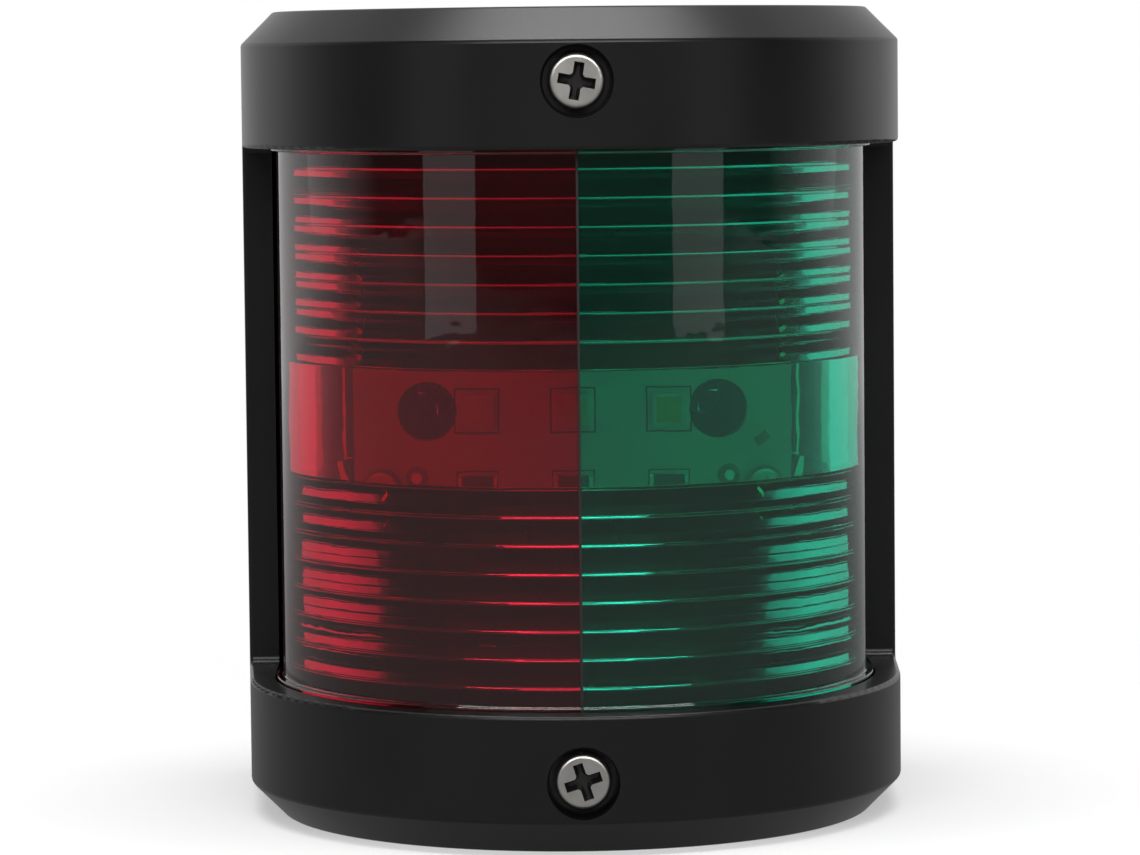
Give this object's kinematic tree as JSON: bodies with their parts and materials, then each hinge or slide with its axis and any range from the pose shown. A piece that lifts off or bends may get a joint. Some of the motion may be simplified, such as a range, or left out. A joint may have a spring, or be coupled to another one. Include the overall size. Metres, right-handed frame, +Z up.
{
  "type": "navigation light",
  "caption": "Compact wall-mounted boat navigation light with a red and green half-round lens, black hoods above and below, and an LED board inside.",
  "frame": {"origin": "middle of the back of the mounting gasket, where it meets the wall", "axes": "+Y back into the wall, +Z up, +X to the right of someone facing the lamp, so the lamp shines along -Y and to both sides"},
  "size_m": [0.0706, 0.062, 0.083],
  "materials": {
    "black_plastic": "satin moulded, black UV-stable ABS",
    "red_lens_plastic": "clear red polycarbonate, polished outside, ring prisms inside",
    "green_lens_plastic": "clear green polycarbonate, polished outside, ring prisms inside",
    "black_joint": "dark strip bonded between the two colours",
    "seal_rubber": "soft black rubber",
    "foam_rubber": "closed-cell black foam rubber",
    "white_board": "white solder mask on glass-fibre board",
    "led_body": "white LED package",
    "led_phosphor": "yellow phosphor under silicone",
    "chip_black": "black moulded chip",
    "chip_tan": "tan ceramic chip",
    "solder": "bright solder",
    "zinc_steel": "zinc-plated steel",
    "stainless_steel": "stainless steel, lightly marked",
    "brass": "turned brass",
    "block_plastic": "moulded green polyamide",
    "red_insulation": "red wire insulation",
    "black_insulation": "black wire insulation"
  },
  "bodies": {
    "base": {"rear_base": "black_plastic", "mounting_gasket": "foam_rubber", "cable_grommet": "seal_rubber", "rim_gasket": "seal_rubber", "led_board": "white_board", "led_packages": "led_body", "led_phosphors": "led_phosphor", "resistors": "chip_black", "capacitor": "chip_tan", "diode": "chip_black", "solder_joints": "solder", "board_screws": "zinc_steel", "terminal_block": "block_plastic", "terminal_cages": "brass", "terminal_screws": "zinc_steel", "lead_red": "red_insulation", "lead_black": "black_insulation", "top_insert": "brass", "bottom_insert": "brass"},
    "cover": {"front_housing": "black_plastic", "red_lens": "red_lens_plastic", "green_lens": "green_lens_plastic", "lens_joint_strip": "black_joint", "lens_seal_top": "seal_rubber", "lens_seal_bottom": "seal_rubber"},
    "top_washer_body": {"top_screw_washer": "seal_rubber"},
    "top_screw_body": {"top_screw": "stainless_steel"},
    "bottom_washer_body": {"bottom_screw_washer": "seal_rubber"},
    "bottom_screw_body": {"bottom_screw": "stainless_steel"}
  },
  "joints": [
    {"name": "cover_pull", "type": "slide", "parent": "base", "child": "cover", "axis": [0, -1, 0], "range_m": [0, 0.06]},
    {"name": "top_screw_travel", "type": "slide", "parent": "cover", "child": "top_washer_body", "axis": [0, -1, 0], "range_m": [0, 0.0065]},
    {"name": "top_screw_turn", "type": "hinge", "parent": "top_washer_body", "child": "top_screw_body", "pos_m": [0, -0.0588, 0.03425], "axis": [0, -1, 0], "range_deg": [0, 4680]},
    {"name": "bottom_screw_travel", "type": "slide", "parent": "cover", "child": "bottom_washer_body", "axis": [0, -1, 0], "range_m": [0, 0.0065]},
    {"name": "bottom_screw_turn", "type": "hinge", "parent": "bottom_washer_body", "child": "bottom_screw_body", "pos_m": [0, -0.0588, -0.03425], "axis": [0, -1, 0], "range_deg": [0, 4680]}
  ],
  "couplings": [
    {"joint": "top_screw_turn", "follows": "top_screw_travel", "rad_per_m": 12566},
    {"joint": "bottom_screw_turn", "follows": "bottom_screw_travel", "rad_per_m": 12566}
  ]
}
